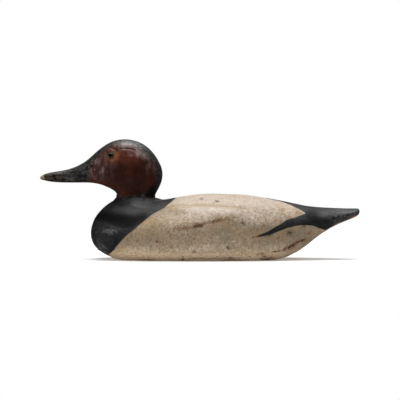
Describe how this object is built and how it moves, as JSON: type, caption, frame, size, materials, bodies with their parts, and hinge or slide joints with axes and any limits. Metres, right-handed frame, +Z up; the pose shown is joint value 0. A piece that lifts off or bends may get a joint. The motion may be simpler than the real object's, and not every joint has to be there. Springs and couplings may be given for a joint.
{
  "type": "floating duck decoy",
  "caption": "Carved wooden floating duck decoy with a hollow two-piece body, a separate head with glass eyes, a lead ballast pad and an anchor-line ring underneath.",
  "frame": {"origin": "on the flat bottom, on the centre plane, halfway between the tip of the bill and the tip of the tail", "axes": "+X from the bill to the tail, +Y the bird's right, +Z up"},
  "size_m": [0.4218, 0.1682, 0.1577],
  "materials": {
    "body_paint": "matte",
    "bottom_paint": "matte",
    "head_paint": "satin",
    "bare_wood": "matte",
    "eye_glass": "polished",
    "eye_enamel": "gloss",
    "eye_black": "gloss",
    "putty": "matte",
    "seam_sealant": "matte",
    "lead": "matte",
    "screw_brass": "satin",
    "rusty_steel": "matte"
  },
  "bodies": {
    "decoy": {"ballast_pad": "lead", "ballast_screws": "screw_brass", "board_nails": "rusty_steel", "body_shell": "body_paint", "bottom_board": "bottom_paint", "eye_glass_left": "eye_glass", "eye_glass_right": "eye_glass", "eye_iris_left": "eye_enamel", "eye_iris_right": "eye_enamel", "eye_pupil_left": "eye_black", "eye_pupil_right": "eye_black", "eye_putty_left": "putty", "eye_putty_right": "putty", "eye_stem_left": "rusty_steel", "eye_stem_right": "rusty_steel", "head": "head_paint", "line_staple": "rusty_steel", "neck_dowel": "bare_wood", "neck_nails": "rusty_steel", "neck_putty": "putty", "seam_sealant": "seam_sealant"},
    "ring": {"line_ring": "rusty_steel"}
  },
  "joints": [
    {"name": "ring_swing", "type": "hinge", "parent": "decoy", "child": "ring", "pos_m": [-0.09, 0, 0.0046], "axis": [0, 1, 0], "range_deg": [-15, 105]}
  ]
}
